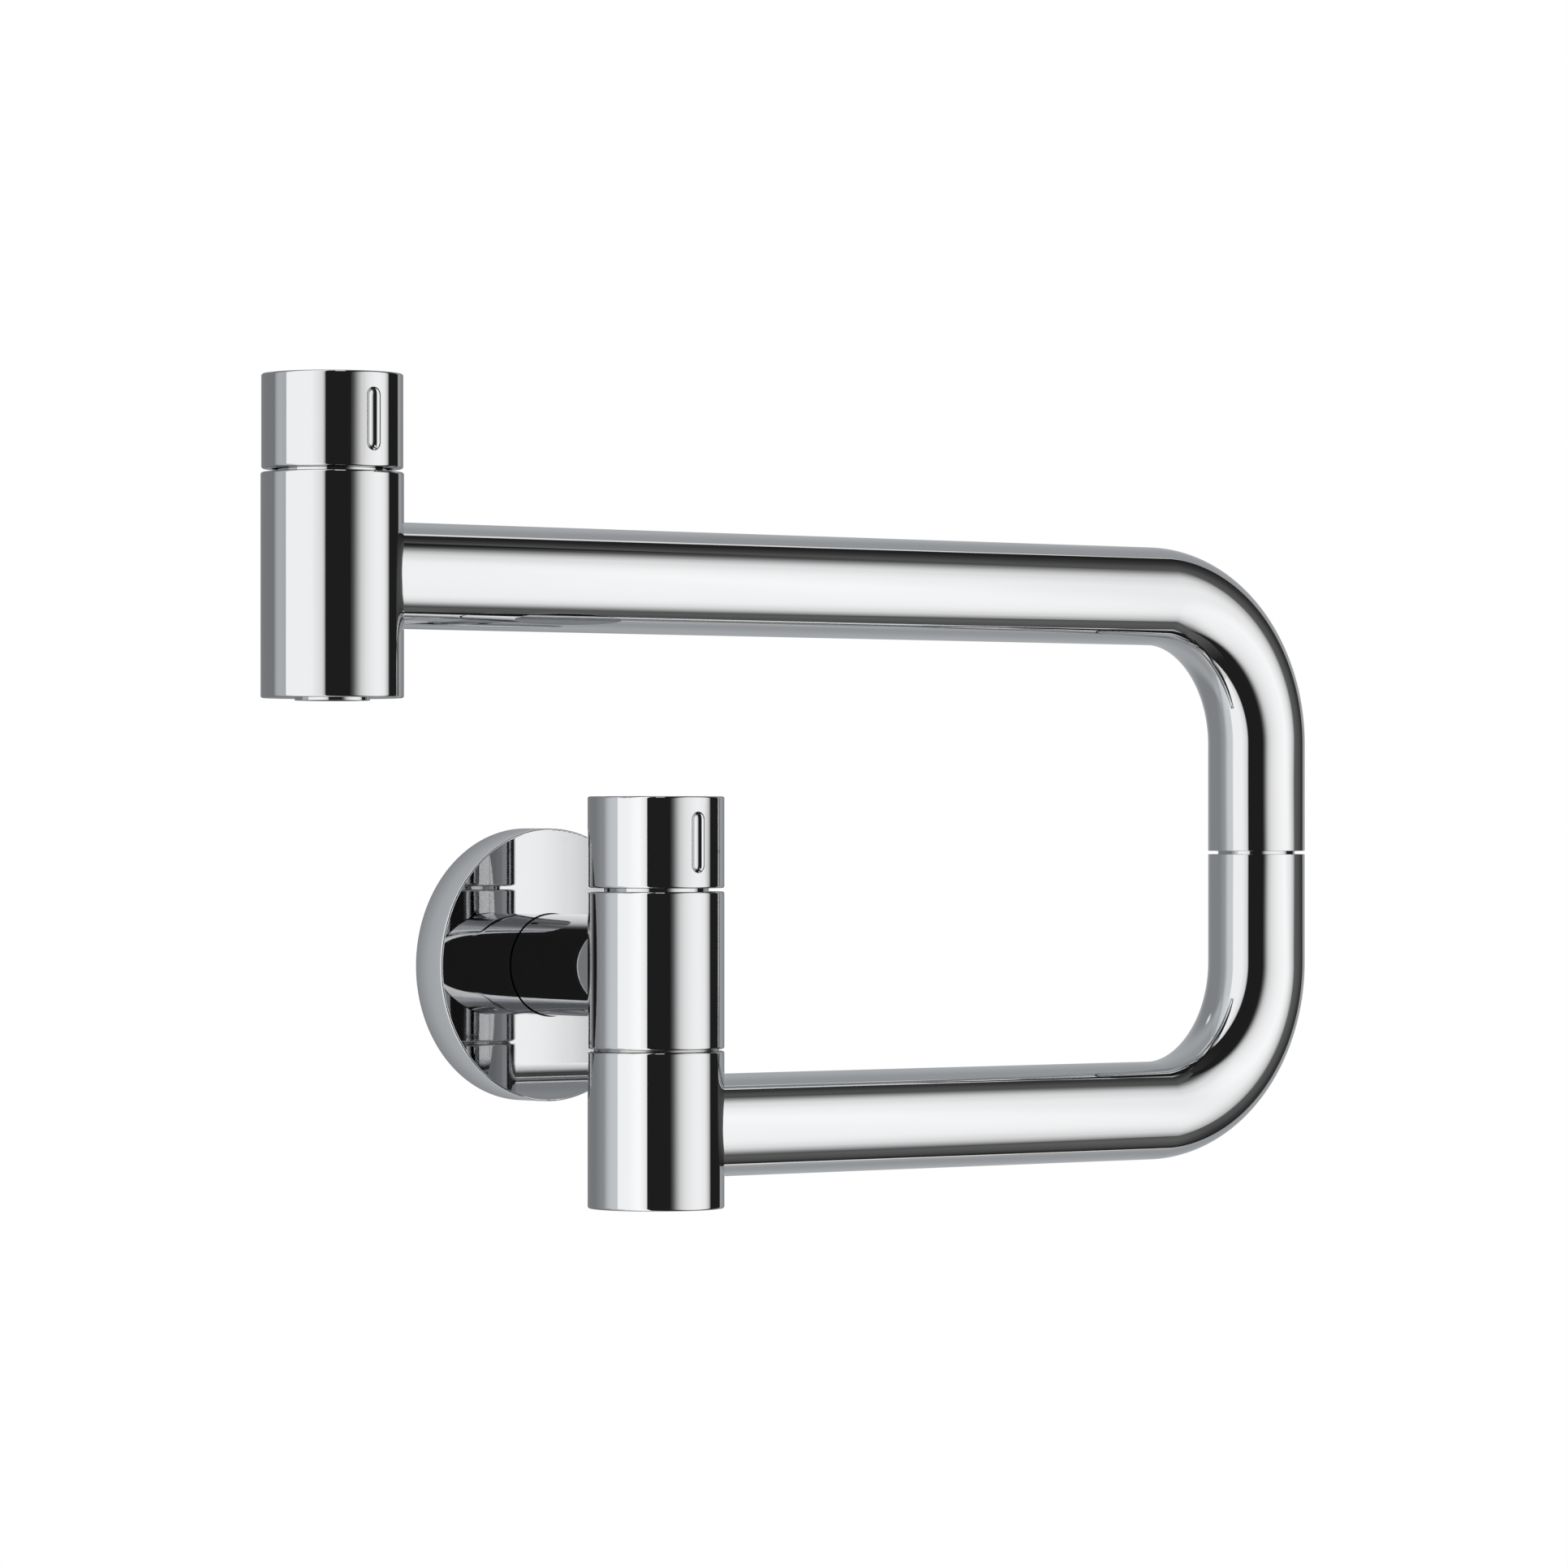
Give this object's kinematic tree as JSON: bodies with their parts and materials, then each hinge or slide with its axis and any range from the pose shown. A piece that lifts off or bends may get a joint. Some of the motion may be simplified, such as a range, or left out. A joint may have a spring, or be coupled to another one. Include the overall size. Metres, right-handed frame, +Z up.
{
  "type": "pot filler",
  "caption": "Wall-mounted folding pot filler: round rosette, valve column, tubular arms that swivel at the wall and at an elbow, quarter-turn handles and a spout with an aerator.",
  "frame": {"origin": "centre of the rosette's back face, on the wall, on the axis of the inlet thread", "axes": "+X along the wall towards the folded elbow, +Y into the wall, +Z up"},
  "size_m": [0.3874, 0.1004, 0.2369],
  "materials": {
    "chrome": "mirror polished",
    "brass": "machined",
    "steel": "bright",
    "ceramic": "lapped",
    "rubber": "moulded",
    "bush_plastic": "machined acetal",
    "insert_plastic": "moulded acetal"
  },
  "bodies": {
    "wall_unit": {"rosette": "chrome", "rosette_grip_ring": "rubber", "rosette_gasket": "rubber", "inlet_nipple": "brass", "inlet_seal": "rubber", "stub": "chrome", "valve_body": "chrome", "valve_seat_seal": "rubber", "valve_cartridge_housing": "brass", "valve_fixed_disc": "ceramic", "valve_bonnet": "chrome", "swivel_spigot": "brass", "swivel_o_rings": "rubber", "swivel_washer": "steel", "swivel_thrust_washer": "bush_plastic", "swivel_retaining_ring": "steel"},
    "valve_knob": {"valve_handle": "chrome", "valve_handle_screw": "steel", "valve_spindle": "brass", "valve_spindle_o_ring": "rubber", "valve_moving_disc": "ceramic"},
    "lower_arm": {"swivel_sleeve": "chrome", "swivel_bushes": "bush_plastic", "swivel_cap": "chrome", "lower_arm_tube": "chrome", "elbow_socket": "brass", "elbow_bush": "bush_plastic", "elbow_foot_bush": "bush_plastic"},
    "upper_arm": {"upper_arm_tube": "chrome", "elbow_spigot": "chrome", "elbow_o_rings": "rubber", "elbow_snap_ring": "steel", "spout_body": "chrome", "spout_seat_seal": "rubber", "spout_cartridge_housing": "brass", "spout_fixed_disc": "ceramic", "spout_bonnet": "chrome", "aerator_housing": "chrome", "aerator_insert": "insert_plastic", "aerator_washer": "rubber"},
    "spout_knob": {"spout_handle": "chrome", "spout_handle_screw": "steel", "spout_spindle": "brass", "spout_spindle_o_ring": "rubber", "spout_moving_disc": "ceramic"}
  },
  "joints": [
    {"name": "valve_turn", "type": "hinge", "parent": "wall_unit", "child": "valve_knob", "pos_m": [0, -0.0624, 0.022], "axis": [0, 0, 1], "range_deg": [0, 90]},
    {"name": "arm_swivel", "type": "hinge", "parent": "wall_unit", "child": "lower_arm", "pos_m": [0, -0.0624, -0.04625], "axis": [0, 0, 1], "range_deg": [-180, 0]},
    {"name": "elbow_swivel", "type": "hinge", "parent": "lower_arm", "child": "upper_arm", "pos_m": [0.2373, -0.0624, 0.03275], "axis": [0, 0, 1], "continuous": true},
    {"name": "spout_turn", "type": "hinge", "parent": "upper_arm", "child": "spout_knob", "pos_m": [-0.1151, -0.0624, 0.13965], "axis": [0, 0, 1], "range_deg": [0, 90]}
  ]
}
